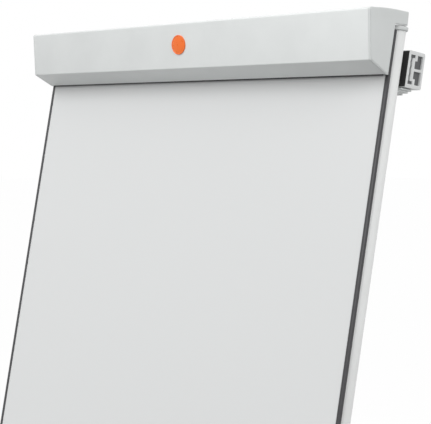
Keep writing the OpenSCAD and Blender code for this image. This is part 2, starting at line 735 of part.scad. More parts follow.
leg_tube(-1);  // leg_tube_left
leg_tube(1);  // leg_tube_right
tube_plugs();
head_rail();
cross_bar();
board_face();
board_core();
board_back();
board_trim_side(-1);  // board_trim_left
board_trim_side(1);  // board_trim_right
board_trim_ends();
board_bolts();
hinge_ears();
cover_hinge_pins();
hook_rail();
rear_bracket();
bracket_bolts();
rear_hinge_pin();
arm_carrier(-1);  // arm_carrier_left
arm_carrier(1);  // arm_carrier_right
carrier_spacers();
carrier_screws();
arm_guides(-1);  // arm_guides_left
arm_guides(1);  // arm_guides_right
pen_tray();
tray_end(-1);  // tray_end_left
tray_end(1);  // tray_end_right
tray_brackets();
tray_screws();
leg_clamp(-1);  // leg_clamp_left
leg_clamp(1);  // leg_clamp_right
leg_clamp_rear();
clamp_pins_front();
clamp_pin_rear();
clamp_lever(-1);  // clamp_lever_left
clamp_lever(1);  // clamp_lever_right
clamp_lever_rear();
lower_leg(-1);  // lower_leg_left
lower_leg(1);  // lower_leg_right
lower_leg_rear();
foot(-1);  // foot_left
foot(1);  // foot_right
foot_rear();
rear_leg_tube();
rear_knuckle();
pad_clamp_cover();
cover_end(-1);  // cover_end_left
cover_end(1);  // cover_end_right
cover_badge();
pad_grip_strip();
pad_hook(-1);  // pad_hook_left
pad_hook(1);  // pad_hook_right
hook_knob(-1);  // hook_knob_left
hook_knob(1);  // hook_knob_right
display_arm(-1);  // display_arm_left
display_arm(1);  // display_arm_right
arm_strip(-1);  // arm_strip_left
arm_strip(1);  // arm_strip_right
arm_stop(-1);  // arm_stop_left
arm_stop(1);  // arm_stop_right
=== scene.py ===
"""Finishes, small parts and studio for a tripod flipchart easel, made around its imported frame."""

import json
import math

import bmesh
import bpy
from bpy.props import FloatProperty, FloatVectorProperty, PointerProperty
from mathutils import Matrix, Vector


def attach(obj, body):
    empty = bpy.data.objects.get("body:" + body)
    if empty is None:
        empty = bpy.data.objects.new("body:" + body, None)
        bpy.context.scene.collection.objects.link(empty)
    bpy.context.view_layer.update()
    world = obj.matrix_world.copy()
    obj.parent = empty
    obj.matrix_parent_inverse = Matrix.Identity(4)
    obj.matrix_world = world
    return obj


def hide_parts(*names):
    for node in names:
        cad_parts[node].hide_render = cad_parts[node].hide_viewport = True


bl_info = {
    "name": "Flipchart Easel",
    "version": (1, 0, 0),
    "blender": (4, 5, 0),
    "location": "View3D > Sidebar > Easel",
    "description": "Finishes, small parts and studio for a tripod flipchart easel",
    "category": "Object",
}

MM = 0.001

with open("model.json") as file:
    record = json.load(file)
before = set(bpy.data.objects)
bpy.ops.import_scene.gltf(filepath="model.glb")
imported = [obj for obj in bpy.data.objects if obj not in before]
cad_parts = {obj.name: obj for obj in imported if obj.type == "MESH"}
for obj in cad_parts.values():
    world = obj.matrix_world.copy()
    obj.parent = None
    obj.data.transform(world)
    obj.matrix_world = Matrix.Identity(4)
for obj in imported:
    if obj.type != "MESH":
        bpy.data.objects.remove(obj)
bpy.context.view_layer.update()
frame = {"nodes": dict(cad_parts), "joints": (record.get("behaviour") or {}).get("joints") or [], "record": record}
JOINTS = {joint["name"]: joint for joint in frame["joints"]}

# The clamp's frame starts at the cover's lower rear edge. Its Y goes out of the board's back and
# its Z up the board's slope.
LEG_DOWN = Vector(JOINTS["leg_left_slide"]["axis"])
LEAN = math.atan2(-LEG_DOWN.y, -LEG_DOWN.z)
SLOPE = Matrix.Rotation(-LEAN, 4, "X")
HINGE_IN_CLAMP = Vector((0, 0.018, 0.0793))
CLAMP = Vector(JOINTS["cover_hinge"]["pos_m"]) - SLOPE @ HINGE_IN_CLAMP
CLAMP_FRAME = Matrix.Translation(CLAMP) @ SLOPE

# The front legs' upper tubes in the clamp's frame in millimetres: axes, radius and lower ends,
# and the height at which the axes meet the ground
TUBE_X = 336
TUBE_Y = 18.1
TUBE_R = 14
TUBE_END = -1147
SOLE = TUBE_Y * math.tan(LEAN) - 1850

# The rear leg's frame starts at the pivot, and its Z goes up the leg. The heights of the upper
# tube's lower end and of the ground are in millimetres.
REAR_DOWN = Vector(JOINTS["leg_rear_slide"]["axis"])
SPLAY = math.atan2(REAR_DOWN.y, -REAR_DOWN.z)
PIVOT = Vector(JOINTS["rear_leg_hinge"]["pos_m"])
REAR_FRAME = Matrix.Translation(PIVOT) @ Matrix.Rotation(SPLAY, 4, "X")
REAR_TUBE_END = -1167.5
REAR_SOLE = -PIVOT.z / math.cos(SPLAY) / MM

SIDES = (("left", -1), ("right", 1))

# Edges that turn by more than this are sharp
SHARP = math.radians(35)

# Rounding of the frame parts' edges in millimetres, for the parts that have any
EDGE_ROUNDING = {
    0.2: ("board_trim_left", "board_trim_right", "board_trim_ends"),
    0.25: (
        "leg_tube_left",
        "leg_tube_right",
        "rear_leg_tube",
        "lower_leg_left",
        "lower_leg_right",
        "lower_leg_rear",
    ),
    0.3: ("arm_strip_left", "arm_strip_right", "hook_rail"),
    0.35: ("display_arm_left", "display_arm_right"),
    0.4: (
        "arm_carrier_left",
        "arm_carrier_right",
        "rear_hinge_pin",
        "pen_tray",
        "pad_hook_left",
        "pad_hook_right",
        "hook_knob_left",
        "hook_knob_right",
        "board_bolts",
        "bracket_bolts",
        "tray_screws",
        "pad_grip_strip",
    ),
    0.5: (
        "pad_clamp_cover",
        "arm_stop_left",
        "arm_stop_right",
        "arm_guides_left",
        "arm_guides_right",
        "hinge_ears",
        "tray_brackets",
        "clamp_lever_left",
        "clamp_lever_right",
        "clamp_lever_rear",
    ),
    0.6: (
        "cover_end_left",
        "cover_end_right",
        "head_rail",
        "cross_bar",
        "rear_bracket",
        "rear_knuckle",
        "leg_clamp_left",
        "leg_clamp_right",
        "leg_clamp_rear",
    ),
    0.8: (
        "tube_plugs",
        "tray_end_left",
        "tray_end_right",
        "foot_left",
        "foot_right",
        "foot_rear",
    ),
}

# Each slot's material, made by the first step
MATERIALS = {}


# ---------------------------------------------------------------- shader maths


class Value:
    """A shader socket that takes part in Python arithmetic."""

    def __init__(self, finish, socket):
        self.finish = finish
        self.socket = socket

    def __add__(self, other):
        return self.finish.node("ShaderNodeMath", {"operation": "ADD"}, {0: self, 1: other})

    def __mul__(self, other):
        return self.finish.node("ShaderNodeMath", {"operation": "MULTIPLY"}, {0: self, 1: other})

    def clamped(self, low, high):
        """This value mapped so that low gives 0 and high gives 1, and held between them."""
        inputs = {"Value": self, "From Min": low, "From Max": high}
        return self.finish.node("ShaderNodeMapRange", {"clamp": True}, inputs)


class Finish:
    """One procedural material on Object coordinates."""

    def __init__(self, name, colour, roughness, metallic=0.0, coat=0.0):
        self.material = bpy.data.materials.new(name)
        self.material.use_nodes = True
        self.tree = self.material.node_tree
        self.shader = self.tree.nodes["Principled BSDF"]
        self.colour = (*colour, 1.0)
        self.shader.inputs["Base Color"].default_value = self.colour
        self.shader.inputs["Roughness"].default_value = roughness
        self.shader.inputs["Metallic"].default_value = metallic
        self.shader.inputs["Coat Weight"].default_value = coat
        place = self.tree.nodes.new("ShaderNodeTexCoord")
        self.place = Value(self, place.outputs["Object"])

    def node(self, kind, settings, inputs, output=0):
        """A node of that kind, with its settings made first and then its sockets."""
        made = self.tree.nodes.new(kind)
        for name, value in settings.items():
            setattr(made, name, value)
        for key, value in inputs.items():
            if isinstance(value, Value):
                self.tree.links.new(value.socket, made.inputs[key])
            else:
                made.inputs[key].default_value = value
        return Value(self, made.outputs[output])

    def noise(self, size, detail=2.0, stretch=(1, 1, 1)):
        """Noise whose features are about size metres across, longer where stretch is over 1."""
        scale = tuple(1 / (size * s) for s in stretch)
        place = self.node("ShaderNodeMapping", {}, {"Vector": self.place, "Scale": scale})
        inputs = {"Vector": place, "Scale": 1.0, "Detail": detail}
        return self.node("ShaderNodeTexNoise", {}, inputs)

    def mixed(self, factor, first, second):
        """A colour between first and second."""
        settings = {"data_type": "RGBA"}
        inputs = {0: factor, 6: first, 7: second}
        return self.node("ShaderNodeMix", settings, inputs, output=2)

    def feed(self, socket, value):
        self.tree.links.new(value.socket, self.shader.inputs[socket])

    def shades(self, mask, dark, light=1.0):
        """Varies the colour from dark to light times itself, where mask goes from 0 to 1."""
        low = tuple(c * dark for c in self.colour[:3]) + (1.0,)
        high = tuple(min(c * light, 1.0) for c in self.colour[:3]) + (1.0,)
        self.feed("Base Color", self.mixed(mask, low, high))

    def rough_between(self, mask, low, high):
        """Varies the roughness from low to high, where mask goes from 0 to 1."""
        self.feed("Roughness", mask * (high - low) + low)

    def bump(self, height, depth, strength=1.0):
        """Relief of that depth in metres where height goes from 0 to 1."""
        inputs = {"Height": height, "Distance": depth, "Strength": strength}
        self.feed("Normal", self.node("ShaderNodeBump", {}, inputs))


# ------------------------------------------------------------------- finishes


def powder_coat(name, colour):
    """Fine orange peel with a slightly uneven gloss."""
    finish = Finish(name, colour, 0.42)
    peel = finish.noise(0.0012, 3.0)
    cloud = finish.noise(0.05, 3.0)
    finish.shades(cloud.clamped(0.3, 0.7), 0.965, 1.02)
    finish.rough_between(cloud.clamped(0.3, 0.7), 0.36, 0.5)
    finish.bump(peel, 0.00012, 0.5)
    return finish.material


def moulded(name, colour, roughness):
    """Spark-eroded mould texture, with rubbed patches that are a little glossier."""
    finish = Finish(name, colour, roughness)
    texture = finish.noise(0.0006)
    rubbed = finish.noise(0.06, 4.0).clamped(0.35, 0.75)
    finish.shades(rubbed, 0.97, 1.02)
    finish.rough_between(rubbed, roughness + 0.06, roughness - 0.08)
    finish.bump(texture, 0.00008, 0.6)
    return finish.material


def enamel(name, colour):
    """Smooth enamelled steel with the faint haze that wiping leaves."""
    finish = Finish(name, colour, 0.3)
    haze = finish.noise(0.3, 2.0, (2, 1, 1)).clamped(0.1, 0.9)
    ripple = finish.noise(0.03, 1.0)
    finish.shades(haze, 0.985)
    finish.rough_between(haze, 0.34, 0.42)
    finish.bump(ripple, 0.00003, 0.3)
    return finish.material


def drawn_metal(name, colour, stretch, roughness):
    """Satin metal with fine lines drawn along one direction."""
    finish = Finish(name, colour, roughness, metallic=1.0)
    lines = finish.noise(0.0006, 3.0, stretch)
    stain = finish.noise(0.05, 3.0).clamped(0.3, 0.75)
    finish.shades(stain, 0.9, 1.04)
    finish.rough_between(lines, roughness - 0.08, roughness + 0.14)
    finish.bump(lines, 0.00004, 0.4)
    return finish.material


def anodised(name, colour):
    """Dark anodised trim with fine lines along it."""
    finish = Finish(name, colour, 0.42, metallic=0.2)
    lines = finish.noise(0.0005, 2.0, (1, 1, 60))
    finish.shades(lines.clamped(0.3, 0.7), 0.9, 1.08)
    finish.rough_between(lines, 0.3, 0.48)
    finish.bump(lines, 0.00003, 0.4)
    return finish.material


def zinc_plate(name, colour):
    """Plated steel with a faint mottle."""
    finish = Finish(name, colour, 0.32, metallic=1.0)
    mottle = finish.noise(0.004, 4.0).clamped(0.3, 0.7)
    finish.shades(mottle, 0.88, 1.05)
    finish.rough_between(mottle, 0.26, 0.42)
    finish.bump(finish.noise(0.0008), 0.00004, 0.4)
    return finish.material


def rubber(name, colour):
    """Matt rubber, dusty in patches."""
    finish = Finish(name, colour, 0.8)
    dust = finish.noise(0.012, 5.0).clamped(0.5, 0.8)
    finish.shades(dust, 1.0, 1.7)
    finish.rough_between(dust, 0.68, 0.9)
    finish.bump(finish.noise(0.0009, 3.0), 0.0001, 0.5)
    return finish.material


def fibreboard(name, colour):
    """Pressed fibres that lie along the board."""
    finish = Finish(name, colour, 0.85)
    fibre = finish.noise(0.0016, 5.0, (3, 1, 1))
    finish.shades(fibre.clamped(0.25, 0.75), 0.7, 1.1)
    finish.bump(fibre, 0.0003, 0.7)
    return finish.material


def glossy_disc(name, colour):
    """Gloss-moulded plastic under a clear coat."""
    finish = Finish(name, colour, 0.3, coat=0.15)
    swirl = finish.noise(0.008, 3.0).clamped(0.3, 0.7)
    finish.shades(swirl, 0.96, 1.02)
    finish.rough_between(swirl, 0.24, 0.36)
    finish.bump(finish.noise(0.0015), 0.00002, 0.4)
    return finish.material


def slot_finishes(colours):
    """The material of each of the record's slots."""
    along_leg = (1, 1, 60)
    across_board = (80, 1, 1)
    return {
        "white_steel": enamel("enamelled_sheet", colours.board),
        "board_fill": fibreboard("fibreboard", (0.42, 0.3, 0.18)),
        "back_sheet": drawn_metal("rolled_back_sheet", (0.5, 0.51, 0.52), across_board, 0.42),
        "grey_trim": anodised("anodised_trim", colours.trim),
        "tube_paint": powder_coat("tube_powder_coat", colours.tube),
        "frame_paint": powder_coat("frame_powder_coat", colours.bracket),
        "bright_tube": drawn_metal("drawn_leg_tube", (0.66, 0.67, 0.68), along_leg, 0.3),
        "cover_grey": moulded("cover_plastic", colours.cover, 0.46),
        "cap_grey": moulded("cap_plastic", colours.cap, 0.5),
        "badge_orange": glossy_disc("badge_plastic", colours.badge),
        "arm_extrusion": powder_coat("arm_powder_coat", colours.arm),
        "tray_grey": powder_coat("tray_powder_coat", colours.arm),
        "zinc": zinc_plate("zinc_plate", (0.6, 0.6, 0.61)),
        "dark_plastic": moulded("dark_plastic", (0.09, 0.091, 0.095), 0.5),
        "black_plastic": moulded("black_plastic", (0.014, 0.014, 0.015), 0.42),
        "black_strip": rubber("magnetic_strip", (0.006, 0.006, 0.0065)),
        "rubber": rubber("foot_rubber", (0.03, 0.03, 0.032)),
    }


# -------------------------------------------------------------------- helpers


def shifted(x, y, z):
    """A shift, given in millimetres."""
    return Matrix.Translation(Vector((x, y, z)) * MM)


def in_clamp(x, y, z):
    """A point of the clamp's frame, given in millimetres."""
    return CLAMP_FRAME @ (Vector((x, y, z)) * MM)


def linked(name, data):
    """A new object in the scene, made of that data."""
    made = bpy.data.objects.new(name, data)
    bpy.context.scene.collection.objects.link(made)
    return made


def piece_from(bm, name, body, slot):
    """Turns a bmesh, which stands where it is at rest, into a piece that rides on a body."""
    bmesh.ops.recalc_face_normals(bm, faces=bm.faces)
    for face in bm.faces:
        face.smooth = True
    mesh = bpy.data.meshes.new(name)
    bm.to_mesh(mesh)
    bm.free()
    mesh.set_sharp_from_angle(angle=SHARP)
    piece = linked(name, mesh)
    mesh.materials.append(MATERIALS[slot])
    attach(piece, body)
    return piece


def joined(bm, first, second):
    """Quads between two rings of as many vertices each."""
    for k in range(len(first)):
        n = (k + 1) % len(first)
        bm.faces.new((first[k], first[n], second[n], second[k]))


def bead(bm, points, radius, closed=False, facets=12):
    """A round bead of that radius along the points."""
    count = len(points)
    rings = []
    normal = None
    for i, point in enumerate(points):
        before = points[i - 1] if i or closed else point
        after = points[(i + 1) % count] if i < count - 1 or closed else point
        along = (after - before).normalized()
        if normal is None:
            normal = along.orthogonal()
        normal = (normal - along * normal.dot(along)).normalized()
        across = along.cross(normal)
        turns = [2 * math.pi * k / facets for k in range(facets)]
        ring = [point + radius * (math.cos(t) * normal + math.sin(t) * across) for t in turns]
        rings.append([bm.verts.new(place) for place in ring])
    for i in range(count if closed else count - 1):
        joined(bm, rings[i], rings[(i + 1) % count])
    if not closed:
        bm.faces.new(rings[0])
        bm.faces.new(rings[-1])


def hexagon(radius, turn):
    """The radius at that turn of a hexagon whose corners are at radius."""
    return radius * math.cos(math.pi / 6) / math.cos(turn % (math.pi / 3) - math.pi / 6)


def turned(bm, profile, place, segments):
    """A profile in millimetres, revolved about Z and put in place.

    Each row holds a radius and a height, and also "hex" where it is six-sided.
    """
    rings = []
    for radius, height, *kind in profile:
        if radius == 0:
            rings.append([bm.verts.new(place @ Vector((0, 0, height * MM)))])
            continue
        ring = []
        for k in range(segments):
            turn = 2 * math.pi * k / segments
            r = (hexagon(radius, turn) if kind else radius) * MM
            corner = Vector((r * math.cos(turn), r * math.sin(turn), height * MM))
            ring.append(bm.verts.new(place @ corner))
        rings.append(ring)
    for first, second in zip(rings, rings[1:]):
        for k in range(segments):
            corners = (
                first[k % len(first)],
                first[(k + 1) % len(first)],
                second[(k + 1) % len(second)],
                second[k % len(second)],
            )
            bm.faces.new(list(dict.fromkeys(corners)))


def rounded(points, radii, steps=5):
    """The closed outline with each corner cut to a curve that starts its radius away."""
    outline = []
    for i, (corner, radius) in enumerate(zip(points, radii)):
        into = (points[i - 1] - corner).normalized() * radius
        out = (points[(i + 1) % len(points)] - corner).normalized() * radius
        for k in range(steps + 1):
            t = k / steps
            outline.append(corner + into * (1 - t) ** 2 + out * t**2)
    return outline


def inset(points, distance):
    """The clockwise outline moved inwards by that distance."""
    moved = []
    for i, corner in enumerate(points):
        into = (corner - points[i - 1]).normalized()
        out = (points[(i + 1) % len(points)] - corner).normalized()
        first = corner + Vector((into.y, -into.x)) * distance
        second = corner + Vector((out.y, -out.x)) * distance
        cross = into.x * out.y - into.y * out.x
        gap = second - first
        moved.append(first + into * (gap.x * out.y - gap.y * out.x) / cross)
    return moved


def slab(bm, levels):
    """Joins outlines of as many points each, and closes the first and the last."""
    rings = [[bm.verts.new(place) for place in level] for level in levels]
    for first, second in zip(rings, rings[1:]):
        joined(bm, first, second)
    bm.faces.new(rings[0])
    bm.faces.new(rings[-1])


def eased(part, width):
    """Small round edges on a part with sharp corners, and flat faces that stay flat."""
    weld = part.modifiers.new("Weld", "WELD")
    weld.merge_threshold = 1e-6
    flat = part.modifiers.new("Flat faces", "DECIMATE")
    flat.decimate_type = "DISSOLVE"
    flat.angle_limit = math.radians(0.3)
    bevel = part.modifiers.new("Eased edges", "BEVEL")
    bevel.width = width
    bevel.segments = 2
    bevel.limit_method = "ANGLE"
    bevel.angle_limit = SHARP
    bevel.harden_normals = True
    for face in part.data.polygons:
        face.use_smooth = True


def white_when_seen(tree, surface, seen):
    """The surface shader, with a white glow for that share of what a camera or mirror ray sees."""
    rays = tree.nodes.new("ShaderNodeLightPath")
    glow = tree.nodes.new("ShaderNodeEmission")
    glow.inputs["Color"].default_value = (1, 1, 1, 1)
    glow.inputs["Strength"].default_value = 1.0
    direct = tree.nodes.new("ShaderNodeMath")
    direct.operation = "MAXIMUM"
    tree.links.new(rays.outputs["Is Camera Ray"], direct.inputs[0])
    tree.links.new(rays.outputs["Is Glossy Ray"], direct.inputs[1])
    share = tree.nodes.new("ShaderNodeMath")
    share.operation = "MULTIPLY"
    tree.links.new(direct.outputs[0], share.inputs[0])
    share.inputs[1].default_value = seen
    mix = tree.nodes.new("ShaderNodeMixShader")
    tree.links.new(share.outputs[0], mix.inputs["Fac"])
    tree.links.new(surface, mix.inputs[1])
    tree.links.new(glow.outputs[0], mix.inputs[2])
    return mix.outputs[0]


# ----------------------------------------------------------------- properties


def colour_of(name, description, default):
    return FloatVectorProperty(
        name=name, description=description, subtype="COLOR", default=default, min=0, max=1
    )


def length_of(name, description, millimetres):
    return FloatProperty(
        name=name, description=description, default=millimetres * MM, min=0, unit="LENGTH"
    )


class EaselColours(bpy.types.PropertyGroup):
    """Linear colours of the easel's main finishes."""

    board: colour_of("Board", "Writing face", (0.66, 0.67, 0.67))
    cover: colour_of("Cover", "Pad clamp cover", (0.68, 0.7, 0.695))
    cap: colour_of("Caps", "End caps and plugs", (0.62, 0.64, 0.635))
    tube: colour_of("Tubes", "Upper leg tubes", (0.74, 0.75, 0.745))
    bracket: colour_of("Brackets", "Rails and brackets", (0.6, 0.61, 0.61))
    arm: colour_of("Arms", "Display arms and tray", (0.66, 0.67, 0.67))
    trim: colour_of("Trim", "Board's edge trim", (0.045, 0.045, 0.048))
    badge: colour_of("Badge", "Disc on the cover", (0.86, 0.15, 0.004))


class EaselSizes(bpy.types.PropertyGroup):
    """Sizes of the small parts that the steps add."""

    panel_inset: length_of("Cap panel inset", "From an end cap's outline to its panel", 1.1)
    bolt_head: length_of("Bolt head", "Radius of the heads on the board and the bracket", 4.7)
    screw_head: length_of("Screw head", "Radius of the heads on the tray", 4.1)
    foot_rib: length_of("Foot rib", "Radius of a foot's ribs", 0.8)
    lever_ridge: length_of("Lever ridge", "Radius of a lever's ridges", 0.55)
    tray_ridge: length_of("Tray ridge", "Radius of the tray's ridges", 0.9)
    weld: length_of("Weld", "Radius of the rails' weld beads", 1.1)


class StudioSettings(bpy.types.PropertyGroup):
    """Camera and floor around the easel."""

    camera_offset: FloatVectorProperty(
        name="Camera",
        description="Camera's place from the clamp's lower edge",
        subtype="TRANSLATION",
        default=(1.3054, -1.2582, -0.0596),
    )
    turn: FloatProperty(
        name="Turn",
        description="Direction of view from +Y",
        default=math.radians(45.25),
        subtype="ANGLE",
    )
    down: FloatProperty(
        name="Down",
        description="How far the view looks down",
        default=math.radians(5.39),
        subtype="ANGLE",
    )
    lens: FloatProperty(name="Lens", description="Focal length in millimetres", default=101.7)
    lens_rise: FloatProperty(
        name="Rise", description="Upward shift of the lens, as a share of the width", default=0.058
    )
    floor_size: FloatProperty(
        name="Floor", description="Side of the floor", default=60.0, unit="LENGTH"
    )


# ------------------------------------------------------------------ operators


class EASEL_OT_finishes(bpy.types.Operator):
    """Give every frame part its finish, and eased edges where it has any"""

    bl_idname = "easel.finishes"
    bl_label = "Finishes"

    def execute(self, context):
        MATERIALS.update(slot_finishes(context.scene.easel_colours))
        slots = {part["node"]: part["material_slot"] for part in frame["record"]["subparts"]}
        for name, part in frame["nodes"].items():
            part.data.materials.clear()
            part.data.materials.append(MATERIALS[slots[name]])
        for width, names in EDGE_ROUNDING.items():
            for name in names:
                eased(frame["nodes"][name], width * MM)
        return {"FINISHED"}


class EASEL_OT_cover_details(bpy.types.Operator):
    """Raised panels on the end caps, the domed badge, and a dark lip under the grip strip that paints the shade of
    its gap to the board
    """

    bl_idname = "easel.cover_details"
    bl_label = "Cover details"

    # Shapes in the clamp's frame in millimetres. The end cap's outline starts at its lower rear
    # corner, goes round the front and ends in the notch for the tube.
    cap = (
        (-5, 0),
        (-40.8, 9.8),
        (-57.2, 73.4),
        (-19.8, 82.6),
        (22.8, 88.6),
        (24, 70.6),
        (-1.6, 66.2),
        (-1.6, 0),
    )
    cap_radii = (1, 2.5, 3, 24, 1.5, 1, 2, 1)
    # The panel's levels: distance from the cover's middle, and further inset
    panel_levels = ((349.9, 0), (350.25, 0), (350.6, 0.3))
    # The badge's middle, up the cover's front from its lower edge
    badge_up = 34
    badge_profile = (
        (0, 1.9),
        (3, 1.87),
        (6, 1.78),
        (9, 1.62),
        (11.2, 1.42),
        (11.9, 1.2),
        (12.3, 1.2),
        (12.7, 1.5),
        (13.3, 1.6),
        (13.8, 1.4),
        (14, 1.0),
        (14, 0),
    )
    # The dark lip's section in Y and Z, which paints the shade in the gap between the cover's rear edge and the
    # board, and how far it runs to each side
    lip = (
        (-4.8, 1.2),
        (-4.8, 0),
        (-4.3, -0.7),
        (-3.2, -1),
        (-1.8, -0.8),
        (-0.9, 0),
        (-0.9, 0.9),
        (-2.2, 1.2),
    )
    lip_end = 342

    def execute(self, context):
        panel_inset = context.scene.easel_sizes.panel_inset / MM
        for side, sign in SIDES:
            self.raise_panel(side, sign, panel_inset)
        self.dome_badge()
        self.hang_shade_lip()
        return {"FINISHED"}

    def raise_panel(self, side, sign, panel_inset):
        corners = [Vector(point) for point in self.cap]
        levels = []
        for x, further in self.panel_levels:
            outline = rounded(inset(corners, panel_inset + further), self.cap_radii)
            levels.append([in_clamp(sign * x, *point) for point in outline])
        bm = bmesh.new()
        slab(bm, levels)
        piece_from(bm, f"cap_panel_{side}", "cover", "cap_grey")

    def dome_badge(self):
        low, high = (Vector((0, *point)) for point in self.cap[1:3])
        across = Vector((1, 0, 0))
        up = (high - low).normalized()
        axes = Matrix((across, up, across.cross(up))).transposed()
        place = CLAMP_FRAME @ shifted(*(low + up * self.badge_up)) @ axes.to_4x4()
        bm = bmesh.new()
        turned(bm, self.badge_profile, place, segments=72)
        badge = piece_from(bm, "domed_badge", "cover", "badge_orange")
        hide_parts("cover_badge")

    def hang_shade_lip(self):
        """A soft dark lip below the grip strip that fills the gap to the board and paints the shade in it."""
        bm = bmesh.new()
        slab(bm, [[in_clamp(x, y, z) for y, z in self.lip] for x in (-self.lip_end, self.lip_end)])
        piece_from(bm, "gap_shade_lip", "cover", "rubber")


class EASEL_OT_arm_details(bpy.types.Operator):
    """Dark inserts in the display arms' chambers that paint the shade deep in the hollows, and buffers on the
    tubes' plugs
    """

    bl_idname = "easel.arm_details"
    bl_label = "Arm details"

    # The arm section's lower front corner in the clamp's frame and its height, in millimetres
    arm_y = 34.8
    arm_z = {"left": -68, "right": -7}
    arm_h = 49
    arm_slope = math.radians(5.5)
    # The arm's outer end, the shade inserts' inner end, and how far in from the arm's end they start
    arm_end = 350
    shade_insert_end = 335
    chamber_depth = 2.5
    slot_depth = 1.6
    # The lower chamber's outline in the section, from the section's lower front corner
    chamber = ((20.7, 5), (32, 5), (32, 22.8), (16.2, 22.8), (16.2, 12.6), (20.7, 12.6))
    # The slot is a bracket: wide at its ends and narrow between them, with serrated sides
    slot_wall = 5
    slot_lip = 4.2
    slot_front = 6
    slot_back = 16
    slot_waist = (10.2, 10.97)
    teeth = 8
    tooth_depth = 0.9
    # The plug's seat on the tube, its slope and thickness, and the buffer's profile
    plug_seat = 63
    plug_slope = math.radians(7)
    plug_t = 5
    buffer_profile = ((0, 0), (15, 0), (15.3, 0.15), (15.1, 0.4), (14.6, 0.5), (0, 0.5))

    def execute(self, context):
        upper = tuple((y, self.arm_h - z) for y, z in self.chamber)
        # Dark plastic in both chambers and the slot, a little way in from the arm's end, paints the shade deep
        # inside the hollow arm
        shade_fills = (
            (self.chamber, self.chamber_depth),
            (upper, self.chamber_depth),
            (self.slot(), self.slot_depth),
        )
        for side, sign in SIDES:
            bm = bmesh.new()
            for outline, deep in shade_fills:
                ends = (sign * (self.arm_end - deep), sign * self.shade_insert_end)
                slab(bm, [[self.in_arm(side, x, *point) for point in outline] for x in ends])
            piece_from(bm, f"arm_shade_inserts_{side}", f"arm_{side}", "dark_plastic")
            self.buffer(side, sign)
        return {"FINISHED"}

    def in_arm(self, side, x, y, z):
        rise = y * math.tan(self.arm_slope)
        return in_clamp(x, self.arm_y + y, self.arm_z[side] + z + rise)

    def slot(self):
        """The slot's outline in the section."""
        low, high = self.slot_wall, self.arm_h - self.slot_wall
        waist, corner = self.slot_waist
        pitch = (high - low) / self.teeth
        teeth = [(self.tooth_depth * (i % 2), low + i * pitch) for i in range(1, self.teeth)]
        return [
            (self.slot_front, low),
            (self.slot_back, low),
            (self.slot_back, low + self.slot_lip),
            (corner, low + self.slot_lip),
            *((waist + y, z) for y, z in teeth),
            (corner, high - self.slot_lip),
            (self.slot_back, high - self.slot_lip),
            (self.slot_back, high),
            (self.slot_front, high),
            *((self.slot_front + y, z) for y, z in reversed(teeth)),
        ]

    def buffer(self, side, sign):
        """A thin pad on the plug, which the cover's end cap passes."""
        seat = CLAMP_FRAME @ shifted(sign * TUBE_X, TUBE_Y, self.plug_seat)
        place = seat @ Matrix.Rotation(self.plug_slope, 4, "X") @ shifted(0, 0, self.plug_t)
        bm = bmesh.new()
        turned(bm, self.buffer_profile, place, segments=48)
        piece_from(bm, f"plug_buffer_{side}", "root", "dark_plastic")


class EASEL_OT_fasteners(bpy.types.Operator):
    """Button heads with hexagon sockets on the bolts and screws"""

    bl_idname = "easel.fasteners"
    bl_label = "Fasteners"

    # Middle of each head's face in the clamp's frame in millimetres
    board_bolts = [(x, 26, z) for x in (-250, 250) for z in (35, -897)]
    bracket_bolts = [(x, 29, 30) for x in (-20, 20)]
    tray_screws = [(x, -3, -953.5) for x in (-TUBE_X, TUBE_X)]
    # A head's profile: share of its radius, height in millimetres, and "hex" in the socket
    head = (
        (1, 0),
        (1, 0.5),
        (0.9, 1.0),
        (0.72, 1.35),
        (0.52, 1.4, "hex"),
        (0.48, 1.3, "hex"),
        (0.48, 0.15, "hex"),
        (0, 0.05),
    )

    def execute(self, context):
        sizes = context.scene.easel_sizes
        to_back, to_front = -math.pi / 2, math.pi / 2
        self.heads("board_bolt_heads", self.board_bolts, sizes.bolt_head, to_back)
        self.heads("bracket_bolt_heads", self.bracket_bolts, sizes.bolt_head, to_back)
        self.heads("tray_screw_heads", self.tray_screws, sizes.screw_head, to_front)
        return {"FINISHED"}

    def heads(self, name, places, radius, turn):
        profile = [(share * radius / MM, *rest) for share, *rest in self.head]
        bm = bmesh.new()
        for place in places:
            seat = CLAMP_FRAME @ shifted(*place) @ Matrix.Rotation(turn, 4, "X")
            turned(bm, profile, seat, segments=36)
        piece_from(bm, name, "root", "zinc")


